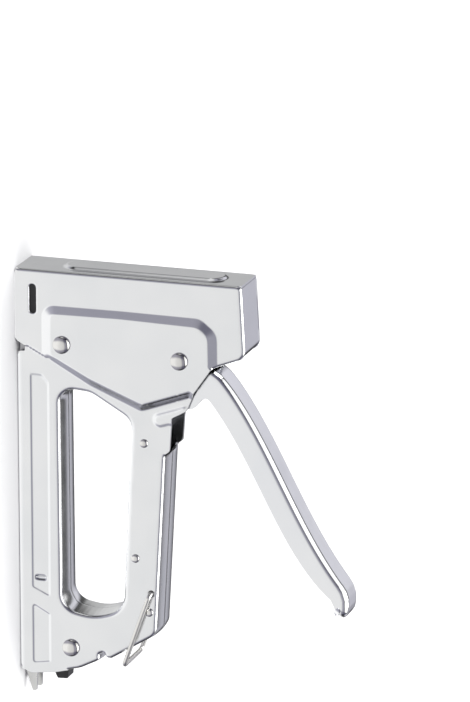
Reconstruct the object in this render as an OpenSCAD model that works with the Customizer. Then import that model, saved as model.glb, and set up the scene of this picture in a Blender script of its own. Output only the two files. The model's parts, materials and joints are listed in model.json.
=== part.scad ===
// Hand staple gun: two pressed steel half shells around a squeeze lever that lifts a sprung striker,
// with a rear-loading staple magazine along the base and a wire bail that locks the lever down.
// X runs from the nose to the rear, Y across the tool and Z from the work face up to the lever.
// The origin is on the work face, at the front of the nose and midway between the shells.

/* [Housing] */
// Length from the nose to the rear edge
body_length = 164; // [156:1:200]
// Height of the head above the work face
head_height = 92.6; // [90:0.1:114]
// Width over the magazine and the grip
grip_width = 17.3; // [16.6:0.1:22]
// Height of the grip's top edge at its rear end
grip_height = 56.2; // [54:0.1:60]
// How far the head stands out from the grip on each side
head_step = 1.55; // [0.8:0.05:2]
// How far the raised side panel stands out from the head
panel_rise = 1.4; // [0.6:0.1:2]
// Thickness of the shell steel
sheet = 1.0; // [0.8:0.1:1.2]

/* [Hand hole] */
// Distance from the nose to the front of the hand hole
hole_front = 47.1; // [45:0.1:56]
// Distance from the rear of the hand hole to the rear edge
hole_rear_gap = 25.6; // [24:0.1:32]
// Height of the hand hole's lower side
hole_base = 17.2; // [16:0.1:20]
// Height of the hand hole's upper side
hole_top = 44.8; // [40:0.1:46]

/* [Lever] */
// Distance from the nose to the lever pivot
pivot_x = 31.0; // [30:0.1:33]
// Height of the lever pivot
pivot_z = 66.9; // [66:0.1:68]
// Thickness of the lever steel
lever_sheet = 1.2; // [1:0.1:1.5]
// Distance from the pivot to the lift pin at the front of the lever
arm_length = 22; // [20:0.5:23]
// Radius of the lift pin
lift_pin_r = 1.5; // [1.2:0.1:1.8]

/* [Rivets and bail] */
// Radius of the three main rivets' shanks
rivet_r = 2.5; // [2:0.1:3]
// Radius of the three main rivets' domed heads
rivet_head_r = 3.5; // [3.2:0.1:4.2]
// Radius of the small grip rivets' shanks
small_rivet_r = 1.1; // [0.9:0.1:1.3]
// Radius of the small grip rivets' domed heads
small_head_r = 1.7; // [1.5:0.1:2]
// Diameter of the bail wire
bail_wire = 1.8; // [1.4:0.1:2.2]
// Length of the bail from its pivot to its cross bar
bail_length = 31.7; // [30:0.1:32]

/* [Magazine] */
// Width over a staple's crown
staple_crown = 10.6; // [10:0.1:11.4]
// Height of the staple rail
rail_height = 9.6; // [9:0.1:10]
// Radius of the pusher's guide rod
rod_r = 1.2; // [1:0.1:1.3]

/* [Hidden] */
$fn = 48;
fit = 0.05; // radial clearance of every shank, pin and rod in its hole
eps = 0.01;

grip_half = grip_width / 2;
head_half = grip_half + head_step;
panel_half = head_half + panel_rise;
cover_half = head_half - sheet - 0.1; // the front plate and the cap fit between the shells
seam = 0.1; // half the gap where the shells' flanges meet
hole_rear = body_length - hole_rear_gap;

// lever
lever_side_gap = 0.65; // between a lever flange and the grip shell
lever_half = grip_half - sheet - lever_side_gap;
lever_inner = lever_half - lever_sheet;
pivot = [pivot_x, pivot_z];
arm_drop = 20; // angle of the lever's front arm below level when open
lift_pin = pivot + arm_length * [-cos(arm_drop), -sin(arm_drop)];
pin_reach = arm_length * (1 - cos(arm_drop)); // how far forward the lift pin's arc takes it

// rivets, as [x, z]
front_rivet_at = [28.6, 19.4];
rear_rivet_at = [body_length - 12.1, 21.2];
grip_rivets_at = [[65.9, 51.6], [body_length - 51.3, 47.9], [body_length - 29.9, grip_height - 2.8]];
rivet_dome = 1.9; // height of a main rivet's head
small_dome = 0.9; // height of a small rivet's head

// bail
bail_at = [body_length - 37.6, grip_height - 2];
bail_rest = -19.5; // angle of the bail's legs below level
bail_r = bail_wire / 2;
bail_y = grip_half + small_dome + 0.05 + bail_r; // the legs clear the small rivets' heads

// magazine
staple_wire = 0.7;
rail_half = staple_crown / 2 - staple_wire;
rail_wall = 0.9;
channel_inner = staple_crown / 2 + 0.4;
channel_wall = 0.9;
channel_half = channel_inner + channel_wall;
channel_top = rail_height + 2.6;
rail_slot = 2.2;
mag_front = 3.2; // where the rail and the channel start, behind the driver blade
rod_z = 5.0;
pusher_x = 5.0;
pusher_length = 10;

// driver blade and striker
blade_x = 1.4;
blade_thick = 1.0;
blade_half = staple_crown / 2 - 0.1;
striker_x = blade_x + blade_thick;
striker_depth = 12;
striker_half = lever_inner - 0.6; // the striker runs between the lever's arms
striker_base = 24;
striker_top = lift_pin[1] + 5;
blade_rivet_r = 1.5;
blade_rivet_z = [striker_base + 7, striker_base + 18];
seat_z = head_height - 6; // underside of the power spring's seat
spring_x = striker_x + striker_depth / 2 + 0.6;

// ---- shape functions ----

function unit(v) = v / norm(v);
function turn2(v, a) = [v[0] * cos(a) - v[1] * sin(a), v[0] * sin(a) + v[1] * cos(a)];
function xz(p) = [p[0], p[1]];
function side_of(a, p, b) = (p[0] - a[0]) * (b[1] - p[1]) - (p[1] - a[1]) * (b[0] - p[0]);

// the arc that rounds one corner p = [x, z, radius] between its neighbours a and b
function corner(a, p, b) =
    let (u = unit(xz(a) - xz(p)), v = unit(xz(b) - xz(p)))
    let (half = acos(max(-1, min(1, u * v))) / 2, r = p[2])
    r < eps || half > 89 ? [xz(p)] :
    let (centre = xz(p) + unit(u + v) * r / sin(half), start = xz(p) + u * r / tan(half) - centre)
    let (bend = (180 - 2 * half) * sign(side_of(a, p, b)), steps = ceil(abs(bend) / 15))
    [for (i = [0:steps]) centre + turn2(start, bend * i / steps)];

// a closed outline of rounded corners
function rounded(pts) = let (n = len(pts))
    [for (i = [0:n - 1]) each corner(pts[(i + n - 1) % n], pts[i], pts[(i + 1) % n])];

// the same corners moved inwards by d, for an outline that runs anticlockwise
function inset(pts, d) = let (n = len(pts))
    [for (i = [0:n - 1])
        let (a = pts[(i + n - 1) % n], p = pts[i], b = pts[(i + 1) % n])
        let (e = unit(xz(p) - xz(a)), f = unit(xz(b) - xz(p)))
        let (m = [-e[1], e[0]], k = [-f[1], f[0]], q = xz(p) + (m + k) * d / (1 + m * k))
        [q[0], q[1], max(0, p[2] - d * sign(side_of(a, p, b)))]];

// a cubic curve from a to b, pulled towards p and q
function curve(a, p, q, b, n) = [for (i = [0:n]) let (t = i / n, s = 1 - t)
    s * s * s * a + 3 * s * s * t * p + 3 * s * t * t * q + t * t * t * b];

// ---- building blocks ----

// an outline in the X-Z plane made solid between two Y values
module slab(y_from, y_to) {
    translate([0, y_to, 0]) rotate([90, 0, 0]) linear_extrude(y_to - y_from) children();
}

module rod_y(at, r, y_from, y_to) {
    translate([at[0], y_from, at[1]]) rotate([-90, 0, 0]) cylinder(r = r, h = y_to - y_from);
}

module tube_y(at, r_out, r_in, y_from, y_to) {
    difference() {
        rod_y(at, r_out, y_from, y_to);
        rod_y(at, r_in, y_from - 1, y_to + 1);
    }
}

// a domed rivet head on the +Y side, its flat face at y
module dome_y(at, r, rise, y) {
    ball = (r * r + rise * rise) / (2 * rise);
    intersection() {
        translate([at[0], y + rise - ball, at[1]]) sphere(r = ball, $fn = 64);
        rod_y(at, r, y, y + rise + 1);
    }
}

module rivet(at, r, head_r, rise, half) {
    rod_y(at, r, -half - eps, half + eps);
    dome_y(at, head_r, rise, half);
    mirror([0, 1, 0]) dome_y(at, head_r, rise, half);
}

// a long outline with round ends, between two points
module stadium(a, b, r) {
    along = unit(b - a) * r;
    side = turn2(along, 90);
    polygon(rounded([for (p = [a - along - side, b + along - side, b + along + side, a - along + side])
        [p[0], p[1], r - 0.02]]));
}

// a coil spring along Z with closed ends, swept as one closed tube
module coil(r, wire, z_from, z_to, turns, steps = 20, sides = 8) {
    n = turns * steps;
    rise = z_to - z_from - wire;
    close = wire * 1.06;
    height = function(t) let (s = turns * t) s < 1 ? close * s
        : s > turns - 1 ? rise - close * (turns - s)
        : close + (rise - 2 * close) * (s - 1) / (turns - 2);
    points = [for (i = [0:n]) let (a = 360 * i / steps, z = z_from + wire / 2 + height(i / n))
        for (j = [0:sides - 1]) let (b = 360 * j / sides, q = r + wire / 2 * cos(b))
            [q * cos(a), q * sin(a), z + wire / 2 * sin(b)]];
    skin = [for (i = [0:n - 1]) for (j = [0:sides - 1])
        let (a = i * sides + j, b = i * sides + (j + 1) % sides, c = b + sides, d = a + sides)
        each [[a, b, c], [a, c, d]]];
    caps = [[for (j = [sides - 1:-1:0]) j], [for (j = [0:sides - 1]) n * sides + j]];
    polyhedron(points = points, faces = concat(skin, caps), convexity = 10);
}

// ---- outlines, anticlockwise, as [x, z, corner radius] ----

grip_front_z = grip_height + 3.8;
lip_z = grip_front_z + 2.6;

side_outline = [
    [0, 0, 0.6], [28.4, 0, 2.5], [30.3, 3.6, 0.4], [33.2, 3.3, 0.3], [33.4, 0, 0.2],
    [body_length - 2, 0, 1], [body_length, 4.5, 4], [body_length - 1.2, 14.4, 20],
    [body_length - 3.9, 24.8, 12], [body_length - 8, 32.7, 0.3], [body_length - 10.6, 32.7, 0.8],
    [body_length - 11.4, 34.6, 0.8], [body_length - 8.2, 36, 0.5],
    [body_length - 20.8, grip_height - 0.1, 5],
    [69.7, grip_front_z, 0.4], [68.3, lip_z - 0.6, 0.5], [54.8, lip_z + 0.3, 1],
    [pivot_x + 20.4, pivot_z + 2, 1], [pivot_x + 13.6, pivot_z + 4.8, 1],
    [pivot_x + 2.4, pivot_z + 12.6, 1], [28.4, head_height + 0.2, 4.5], [0, head_height - 1.4, 0.6]
];

hand_hole = [
    [hole_front + 3.4, hole_base, 5], [hole_rear - 2.2, hole_base + 0.4, 7],
    [hole_rear + 0.2, (hole_base + hole_top) / 2, 20], [hole_rear - 4, hole_top - 2, 9],
    [hole_front + 41, hole_top, 60], [hole_front + 10.2, hole_top + 1.6, 6],
    [hole_front + 0.6, hole_top - 15, 10], [hole_front, hole_base + 4, 6]
];

// raised side panel: its flat top, and its foot at the level of the grip's face
panel_top = [
    [17, 14.6, 2], [33.2, 14.6, 2], [41.2, 30.5, 4], [49.6, 51.9, 1.5],
    [pivot_x + 14, pivot_z + 5, 1], [pivot_x + 4, pivot_z + 14, 1], [21, 78.6, 4.5], [17.2, 74, 4]
];
panel_foot = [
    [12, 8.6, 5], [36, 8.6, 4], [44.9, 29.8, 4], [53.2, 50.6, 2],
    [pivot_x + 19, pivot_z + 8, 1], [pivot_x + 8, pivot_z + 20, 1], [16, 84.5, 8], [10.6, 78, 8]
];

// ---- housing ----

module panel_hull(foot_y, top_y, shrink) {
    hull() {
        slab(foot_y - eps, foot_y) polygon(rounded(inset(panel_foot, shrink)));
        slab(top_y, top_y + eps) polygon(rounded(inset(panel_top, shrink)));
    }
}

// the head's side is a plain wall, open at the front, the top and the nose
head_side = [
    [0, 0, 0.6], [28.4, 0, 2.5], [30.3, 3.6, 0.2], [34.6, 12, 1], [34.6, head_height + 2, 1],
    [0, head_height + 2, 1]
];
head_room = [
    [-2, -2], [31, -2], [30.3 - sheet, 3.4], [34.6 - sheet, 12], [34.6 - sheet, head_height + 3],
    [-2, head_height + 3]
];

module shell_solid() {
    intersection() {
        union() {
            slab(-grip_half, -seam) polygon(rounded(side_outline));
            slab(-head_half, -grip_half + eps) polygon(rounded(head_side));
            panel_hull(-grip_half + 0.5, -panel_half, 0);
        }
        slab(-panel_half - 1, 0) polygon(rounded(side_outline));
    }
}

module shell_room() {
    slab(-grip_half + sheet, 1) polygon(rounded(inset(side_outline, sheet)));
    slab(-head_half + sheet, 1) polygon(head_room);
    panel_hull(-grip_half + sheet + 0.5, -panel_half + sheet, 0.35);
    // where the lever comes out, and the open gap in front of the grip's top
    slab(-grip_half + sheet, 1) polygon([
        [30, pivot_z - 8], [52, grip_height - 3], [69, grip_height - 3], [69, lip_z + 3],
        [56, lip_z + 14], [30, head_height + 2]
    ]);
    // the notch under the nose is cut through the side wall only
    slab(-grip_half + sheet, 1) polygon([[26, -1], [34.6, -1], [34.6, 6], [26, 6]]);
    // the magazine's mouth and the rear plug
    slab(-grip_half + sheet, 1)
        polygon([
            [body_length - 7, sheet], [body_length + 2, sheet], [body_length + 2, 19.4],
            [body_length - 7, 19.4]
        ]);
    // the base flanges end at the staple rail
    slab(-rail_half, 1)
        polygon([[30, -1], [body_length + 2, -1], [body_length + 2, 2 * sheet], [30, 2 * sheet]]);
}

// shallow pressed beads, cut into the outer face
module pressed_marks() {
    depth = 0.3;
    slab(-grip_half - 1, -grip_half + depth) {
        polygon(rounded([
            [42, 5.4, 0.8], [body_length - 35.4, 5.4, 0.8], [body_length - 32, 12.6, 0.6],
            [45.4, 12.9, 0.8], [42, 10, 2]
        ]));
        polygon(rounded([
            [body_length - 29, 5.4, 0.8], [body_length - 4, 5.4, 0.8], [body_length - 5, 12.6, 0.8],
            [body_length - 25, 12.6, 0.8]
        ]));
    }
    // magazine stop dimple
    stop_x = body_length - 39.4;
    slab(-grip_half - 1, -grip_half + 2 * depth) stadium([stop_x, 7.6], [stop_x, 10.4], 0.9);
}

module half_shell() {
    difference() {
        union() {
            difference() {
                shell_solid();
                shell_room();
            }
            // wall of the hand hole, folded in to the seam
            difference() {
                slab(-grip_half, -seam) polygon(rounded(inset(hand_hole, -sheet)));
                slab(-grip_half - 1, 1) polygon(rounded(hand_hole));
            }
            // stiffening bead beside the lever opening
            intersection() {
                slab(-grip_half - 0.4, -grip_half + 0.4) stadium([56, 58.2], [50, 75], 2.5);
                slab(-grip_half - 1, 0) polygon(rounded(inset(side_outline, 0.4)));
            }
        }
        slab(-panel_half - 1, 1) polygon(rounded(hand_hole));
        // nose slot
        slab(-panel_half - 1, -head_half + 2 * sheet) stadium([7.3, 7.2], [16.1, 7.2], 1.35);
        pressed_marks();
        for (at = [front_rivet_at, pivot, rear_rivet_at]) rod_y(at, rivet_r + fit, -panel_half - 2, 2);
        for (at = grip_rivets_at) rod_y(at, small_rivet_r + fit, -grip_half - 2, 2);
        rod_y(bail_at, bail_r + fit, -grip_half - 2, 2);
    }
}

module left_shell() color([0.86, 0.87, 0.88]) half_shell();
module right_shell() color([0.84, 0.85, 0.87]) mirror([0, 1, 0]) half_shell();

// closes the front of the head, with a long raised panel
module front_plate() {
    rib_half = cover_half - 3.2;
    rib_base = 17 + rib_half;
    rib_top = head_height - 10 - rib_half;
    color([0.80, 0.81, 0.83]) difference() {
        union() {
            translate([0, -cover_half, 0]) cube([sheet, 2 * cover_half, head_height - 1.6]);
            translate([-sheet, 0, 0]) rotate([90, 0, 90]) linear_extrude(sheet + eps)
                stadium([0, rib_base], [0, rib_top], rib_half);
        }
        rotate([90, 0, 90]) linear_extrude(sheet + eps)
            stadium([0, rib_base], [0, rib_top], rib_half - sheet);
    }
}

// closes the top of the head and curves down behind it, with a lance slit along each bend
module head_cap() {
    cap_line = [
        [sheet + 0.1, head_height - sheet - 1.35, 0.1], [27.7, head_height + 0.15 - sheet, 4.5 - sheet],
        [32.4 - sheet, pivot_z + 13.6, 0.1], [32.4, pivot_z + 14, 0.1],
        [28.4, head_height + 0.2, 4.5], [sheet + 0.1, head_height - 1.35, 0.1]
    ];
    color([0.82, 0.83, 0.85]) difference() {
        slab(-cover_half, cover_half) polygon(rounded(cap_line));
        for (s = [-1, 1]) translate([9, s * cover_half - 0.5, head_height - 6]) cube([13, 1, 8]);
    }
}

module rear_plug() {
    plug_half = grip_half - sheet;
    color([0.06, 0.06, 0.06]) {
        slab(-plug_half, plug_half) polygon(rounded([
            [body_length - 7, channel_top, 0], [body_length - 1.6, channel_top, 0],
            [body_length - 2.6, 19.3, 0], [body_length - 7, 19.3, 0]
        ]));
        slab(-3.2, 3.2) polygon(rounded([
            [body_length - 3, channel_top + 0.4, 0], [body_length + 0.8, channel_top + 0.4, 0.5],
            [body_length + 3, channel_top + 1.4, 0.5], [body_length + 2.8, 17.8, 0.5],
            [body_length - 3, 18.4, 0]
        ]));
    }
}

module main_rivet(at, half) color([0.75, 0.74, 0.72]) rivet(at, rivet_r, rivet_head_r, rivet_dome, half);
module front_rivet() main_rivet(front_rivet_at, panel_half);
module pivot_rivet() main_rivet(pivot, panel_half);
module rear_rivet() main_rivet(rear_rivet_at, grip_half);

module grip_rivets() {
    color([0.78, 0.77, 0.75]) for (at = grip_rivets_at)
        rivet(at, small_rivet_r, small_head_r, small_dome, grip_half);
}

// tubes on the rivets that hold the shells apart
module main_spacers() {
    color([0.6, 0.6, 0.6]) {
        tube_y(front_rivet_at, rivet_r + 1.2, rivet_r + fit, -panel_half + sheet, panel_half - sheet);
        tube_y(rear_rivet_at, rivet_r + 1.2, rivet_r + fit, -grip_half + sheet, grip_half - sheet);
    }
}

module grip_spacers() {
    color([0.6, 0.6, 0.6]) for (at = grip_rivets_at)
        tube_y(at, small_rivet_r + 0.6, small_rivet_r + fit, -grip_half + sheet, grip_half - sheet);
}

// bushes on the pivot rivet, between each shell and the lever
module pivot_bushes() {
    color([0.6, 0.6, 0.6]) for (s = [0, 1]) mirror([0, s, 0])
        tube_y(pivot, rivet_r + 1.5, rivet_r + fit, lever_half + fit, panel_half - sheet);
}

// sleeve on the pivot rivet that carries the return spring
module pivot_sleeve() {
    color([0.6, 0.6, 0.6]) tube_y(pivot, rivet_r + 0.9, rivet_r + fit, -lever_inner + fit, lever_inner - fit);
}

// ---- striker mechanism ----

spring_r = 4.5;
spring_wire = 1.9;

module spring_seat() {
    seat_half = head_half - sheet;
    color([0.55, 0.55, 0.56]) {
        translate([sheet + 0.6, -seat_half, seat_z]) cube([14.6, 2 * seat_half, 2.4]);
        translate([spring_x, 0, seat_z - 5]) cylinder(r = spring_r - spring_wire / 2 - 0.4, h = 6);
    }
}

module power_spring() {
    color([0.35, 0.35, 0.37]) translate([spring_x, 0, 0])
        coil(spring_r, spring_wire, striker_top, seat_z, 5);
}

module striker() {
    color([0.5, 0.5, 0.52]) difference() {
        slab(-striker_half, striker_half) polygon(rounded([
            [striker_x, striker_base, 0.5], [striker_x + striker_depth, striker_base, 1.5],
            [striker_x + striker_depth, striker_top, 0.5], [striker_x, striker_top, 0.5]
        ]));
        // slot that the lift pin pushes up in
        slab(-striker_half - 1, striker_half + 1)
            stadium(lift_pin - [pin_reach + 0.27, 0], lift_pin + [12, 0], lift_pin_r + 0.3);
        for (z = blade_rivet_z)
            translate([striker_x - 1, 0, z]) rotate([0, 90, 0])
                cylinder(r = blade_rivet_r + fit, h = striker_depth + 2);
    }
}

module driver_blade() {
    color([0.62, 0.62, 0.64]) difference() {
        translate([blade_x, -blade_half, 0.3]) cube([blade_thick, 2 * blade_half, striker_base + 24]);
        for (z = blade_rivet_z)
            translate([0, 0, z]) rotate([0, 90, 0]) cylinder(r = blade_rivet_r + fit, h = 6);
    }
}

// two rivets that hold the blade on the striker
module blade_rivets() {
    color([0.7, 0.7, 0.7]) for (z = blade_rivet_z) translate([0, 0, z]) rotate([0, 90, 0]) {
        translate([0, 0, blade_x]) cylinder(r = blade_rivet_r, h = blade_thick + striker_depth + eps);
        translate([0, 0, striker_x + striker_depth]) cylinder(r = blade_rivet_r + 0.9, h = 0.9);
    }
}

// black nylon block that guides the blade and stops the striker
module nose_guide() {
    guide_half = head_half - sheet;
    color([0.05, 0.05, 0.05]) difference() {
        translate([striker_x + 0.2, -guide_half, 2]) cube([21, 2 * guide_half, striker_base - 2.3]);
        translate([0, -channel_half - 0.1, -1]) cube([30, 2 * channel_half + 0.2, channel_top + 1.1]);
    }
}

// ---- lever ----

lever_top = curve([37, 82.1], [60, 101.5], [92, 111], [116.3, 130.3], 14);
lever_low = curve([122.2, 126.2], [105, 105.4], [71, 96.6], [47.2, 77.6], 14);
// the lever's curves are drawn for a pivot at this point and move with it
lever_shift = pivot - [31, 66.9];
lever_tip = [
    [119, 132], [122.5, 133], [125.8, 132.9], [127.9, 131.7], [128, 130.6], [126.8, 129.7], [124.4, 128.2]
];
lever_foot = [[46.2, 76.4], [46.4, 75], [48, 73.7], [50, 72], [51.2, 69.4], [48, 66.4]];

// the arm's end corners, and the whole side as one outline
arm_dir = unit(lift_pin - pivot);
arm_down = turn2(arm_dir, 90);
arm_half = 3.1;
lever_outline = concat(
    [for (p = concat(lever_top, lever_tip, lever_low, lever_foot))
        [p[0] + lever_shift[0], p[1] + lever_shift[1], 0]],
    [[pivot_x + 5, pivot_z - 6.3, 2], [pivot_x - 3, pivot_z - 6.3, 4]],
    [for (s = [1, -1]) let (p = lift_pin + arm_half * (s * arm_down + arm_dir))
        [p[0], p[1], arm_half - 0.05]],
    [[pivot_x - 4, pivot_z + 5.2, 4], [pivot_x + 2.6, pivot_z + 9, 3]]
);

module lever_side() {
    polygon(rounded(lever_outline));
}

// space under the web: the side outline moved in from the web and left open below
module lever_inside() {
    translate(lever_shift) polygon(concat(
        [[-10, 40], [-10, 78], [33, 78], [37.6, 79.5]],
        [for (i = [0:len(lever_top) - 1]) lever_top[i] + turn2([lever_sheet, 0], i == 0 ? -50 : -58)],
        [[120, 130.6], [123, 131.4], [124.6, 131.2], [125.6, 129.4], [132, 118], [60, 50]]
    ));
}

module lever_handle() {
    color([0.88, 0.89, 0.90]) difference() {
        slab(-lever_half, lever_half) lever_side();
        slab(-lever_inner, lever_inner) lever_inside();
        rod_y(pivot, rivet_r + fit, -lever_half - 1, lever_half + 1);
        rod_y(lift_pin, lift_pin_r + fit, -lever_half - 1, lever_half + 1);
    }
}

module lift_pin() {
    color([0.6, 0.6, 0.6]) {
        rod_y(lift_pin, lift_pin_r, -lever_half - eps, lever_half + eps);
        for (s = [0, 1]) mirror([0, s, 0]) rod_y(lift_pin, lift_pin_r + 0.8, lever_half, lever_half + 0.8);
    }
}

// torsion spring round the pivot sleeve, pushing the lever open
module return_spring() {
    color([0.4, 0.4, 0.42]) translate([pivot_x, 0, pivot_z]) rotate([90, 0, 0])
        coil(rivet_r + 1.7, 1, -lever_inner + 2.4, lever_inner - 2.4, 5);
}

// ---- bail ----

module lock_bail() {
    color([0.72, 0.72, 0.73]) translate([bail_at[0], 0, bail_at[1]]) rotate([0, -bail_rest, 0]) {
        for (s = [0, 1]) mirror([0, s, 0]) {
            rod_y([0, 0], bail_r, grip_half - 1.6, bail_y);
            translate([0, bail_y, 0]) sphere(r = bail_r);
            translate([0, bail_y, 0]) rotate([0, 90, 0]) cylinder(r = bail_r, h = bail_length);
            translate([bail_length, bail_y, 0]) sphere(r = bail_r);
        }
        rod_y([bail_length, 0], bail_r, -bail_y, bail_y);
    }
}

// ---- magazine ----

module magazine_channel() {
    color([0.66, 0.66, 0.68]) difference() {
        translate([mag_front, -channel_half, sheet])
            cube([body_length - mag_front - 3, 2 * channel_half, channel_top - sheet]);
        translate([mag_front - 1, -channel_inner, -1])
            cube([body_length, 2 * channel_inner, channel_top - channel_wall + 1]);
    }
}

module staple_rail() {
    inner = rail_half - rail_wall;
    color([0.6, 0.6, 0.62]) difference() {
        translate([mag_front, -rail_half, 0]) cube([body_length - mag_front - 4, 2 * rail_half, rail_height]);
        translate([mag_front + 1.2, -inner, -1]) cube([body_length, 2 * inner, rail_height - rail_wall + 1]);
        // slot along the top that the pusher's web runs in
        translate([mag_front + 1.2, -rail_slot / 2, 0]) cube([body_length, rail_slot, rail_height + 1]);
    }
}

module guide_rod() {
    color([0.7, 0.7, 0.7]) translate([pusher_x, 0, rod_z]) rotate([0, 90, 0])
        cylinder(r = rod_r, h = body_length - 3 - pusher_x);
}

// folded end of the pusher unit, with the tapered tab that is pulled to load
module pull_tab() {
    tab_half = rail_half - rail_wall - 0.3;
    color([0.58, 0.58, 0.60]) difference() {
        slab(-tab_half, tab_half) polygon(rounded([
            [body_length - 9, 0.9, 0.5], [body_length + 1.5, 0.9, 1], [body_length + 9.2, 3.2, 0.6],
            [body_length + 9, 4.9, 0.8], [body_length + 0.6, 5.3, 0.5], [body_length - 0.4, 8.2, 0.5],
            [body_length - 9, 8.2, 0.5]
        ]));
        translate([body_length - 7.6, -tab_half + 0.9, 1.9]) cube([40, 2 * tab_half - 1.8, 10]);
        translate([body_length - 12, 0, rod_z]) rotate([0, 90, 0]) cylinder(r = rod_r + fit, h = 9);
    }
}

module pusher_spring() {
    color([0.5, 0.5, 0.52]) translate([pusher_x + pusher_length, 0, rod_z]) rotate([0, 90, 0])
        coil(rod_r + 0.85, 0.6, 0, body_length - 9 - pusher_x - pusher_length, 30, 10, 5);
}

module pusher() {
    inner = rail_half + 0.15;
    outer = staple_crown / 2 + 0.1;
    bush_r = rod_r + 1.3;
    color([0.4, 0.42, 0.45]) difference() {
        union() {
            difference() {
                translate([pusher_x, -outer, 2.6]) cube([pusher_length, 2 * outer, rail_height - 1.2]);
                translate([pusher_x - 1, -inner, 0]) cube([pusher_length + 2, 2 * inner, rail_height + 0.2]);
            }
            translate([pusher_x, -0.8, rod_z]) cube([pusher_length, 1.6, rail_height - rod_z + 0.3]);
            translate([pusher_x, 0, rod_z]) rotate([0, 90, 0]) cylinder(r = bush_r, h = pusher_length);
        }
        translate([pusher_x - 1, 0, rod_z]) rotate([0, 90, 0])
            cylinder(r = rod_r + fit, h = pusher_length + 2);
    }
}

left_shell();
right_shell();
front_plate();
head_cap();
rear_plug();
front_rivet();
pivot_rivet();
rear_rivet();
grip_rivets();
main_spacers();
grip_spacers();
pivot_bushes();
pivot_sleeve();
spring_seat();
power_spring();
return_spring();
nose_guide();
magazine_channel();
staple_rail();
striker();
driver_blade();
blade_rivets();
lever_handle();
lift_pin();
lock_bail();
guide_rod();
pull_tab();
pusher_spring();
pusher();
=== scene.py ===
# %% [markdown]
# # A hand staple gun in bright pressed steel
# The sizes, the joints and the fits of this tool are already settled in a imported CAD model.
# This lesson dresses that model: the folded shells, the lever, the wire and the rivets are made again
# as thin sheet with rounded bends, because bent and plated steel is read by its edges, and every
# surface gets a finish of its own. Each piece is a surface worked out from arrays of numbers.

# %% Load the frame
import json
import math
import bmesh
import bpy
import numpy as np
from mathutils import Matrix, Vector


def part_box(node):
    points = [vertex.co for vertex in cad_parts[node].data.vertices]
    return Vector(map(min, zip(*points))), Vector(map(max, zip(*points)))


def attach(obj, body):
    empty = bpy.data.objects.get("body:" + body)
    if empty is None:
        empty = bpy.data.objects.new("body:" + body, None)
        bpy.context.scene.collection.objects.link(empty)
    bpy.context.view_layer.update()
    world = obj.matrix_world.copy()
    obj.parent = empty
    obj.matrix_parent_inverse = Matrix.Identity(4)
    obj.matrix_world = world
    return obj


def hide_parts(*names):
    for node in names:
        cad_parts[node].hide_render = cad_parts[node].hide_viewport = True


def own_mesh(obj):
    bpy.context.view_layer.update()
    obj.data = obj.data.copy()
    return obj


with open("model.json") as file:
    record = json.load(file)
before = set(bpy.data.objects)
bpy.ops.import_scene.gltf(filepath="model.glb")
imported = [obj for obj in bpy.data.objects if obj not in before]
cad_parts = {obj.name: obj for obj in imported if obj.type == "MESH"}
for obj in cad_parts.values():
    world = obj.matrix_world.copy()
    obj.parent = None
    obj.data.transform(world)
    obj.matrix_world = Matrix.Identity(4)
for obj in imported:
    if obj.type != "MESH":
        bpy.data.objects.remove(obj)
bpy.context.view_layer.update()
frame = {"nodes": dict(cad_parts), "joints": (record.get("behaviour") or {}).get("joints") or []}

# %% [markdown]
# ## Driving dimensions
# The frame says where everything is. The outlines below are drawn in millimetres, as a tool maker
# would draw them, and hang on a handful of numbers read from the frame.

# %% Sizes from the frame
MM = 0.001


def joint(name):
    """The record of one joint."""
    return next(j for j in frame["joints"] if j["name"] == name)


def box_mm(node):
    """Lowest and highest corner of a node, in millimetres."""
    low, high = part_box(node)
    return np.array(low) / MM, np.array(high) / MM


def middle(node):
    """Centre of a node as (x, z) in millimetres."""
    low, high = box_mm(node)
    return ((low + high) / 2)[[0, 2]]


shell_low, shell_high = box_mm("left_shell")
LENGTH = 164.0
HEAD = shell_high[2]
RIVET_RISE, PANEL_RISE, EDGE_OVER_BAIL = 1.9, 1.4, 2.0
PANEL_OUT = -shell_low[1]
GRIP_OUT = box_mm("rear_rivet")[1][1] - RIVET_RISE
HEAD_OUT = PANEL_OUT - PANEL_RISE
PIVOT = np.array(joint("lever_squeeze")["pos_m"])[[0, 2]] / MM
BAIL = np.array(joint("bail_swing")["pos_m"])[[0, 2]] / MM
GRIP_TOP = BAIL[1] + EDGE_OVER_BAIL
SHEET = 1.0
LEVER_OUT = box_mm("lever_handle")[1][1]
LEVER_SHEET = 1.2
print(f"shell {LENGTH:.0f} x {HEAD:.1f} mm, half widths {GRIP_OUT:.2f}, {HEAD_OUT:.2f}, {PANEL_OUT:.2f} mm")

# %% [markdown]
# ## Outlines
# A stamped part starts as a flat outline. Each corner is given as x, z and the radius that rounds it,
# and two small functions turn the corners into a smooth line or move the whole line inwards.

# %% Outline helpers
def unit(v):
    """A vector, or each row of vectors, scaled to length one."""
    return v / np.maximum(np.linalg.norm(v, axis=-1, keepdims=True), 1e-12)


def cross2(a, b):
    """The turn from a to b: positive to the left."""
    return a[..., 0] * b[..., 1] - a[..., 1] * b[..., 0]


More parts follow.
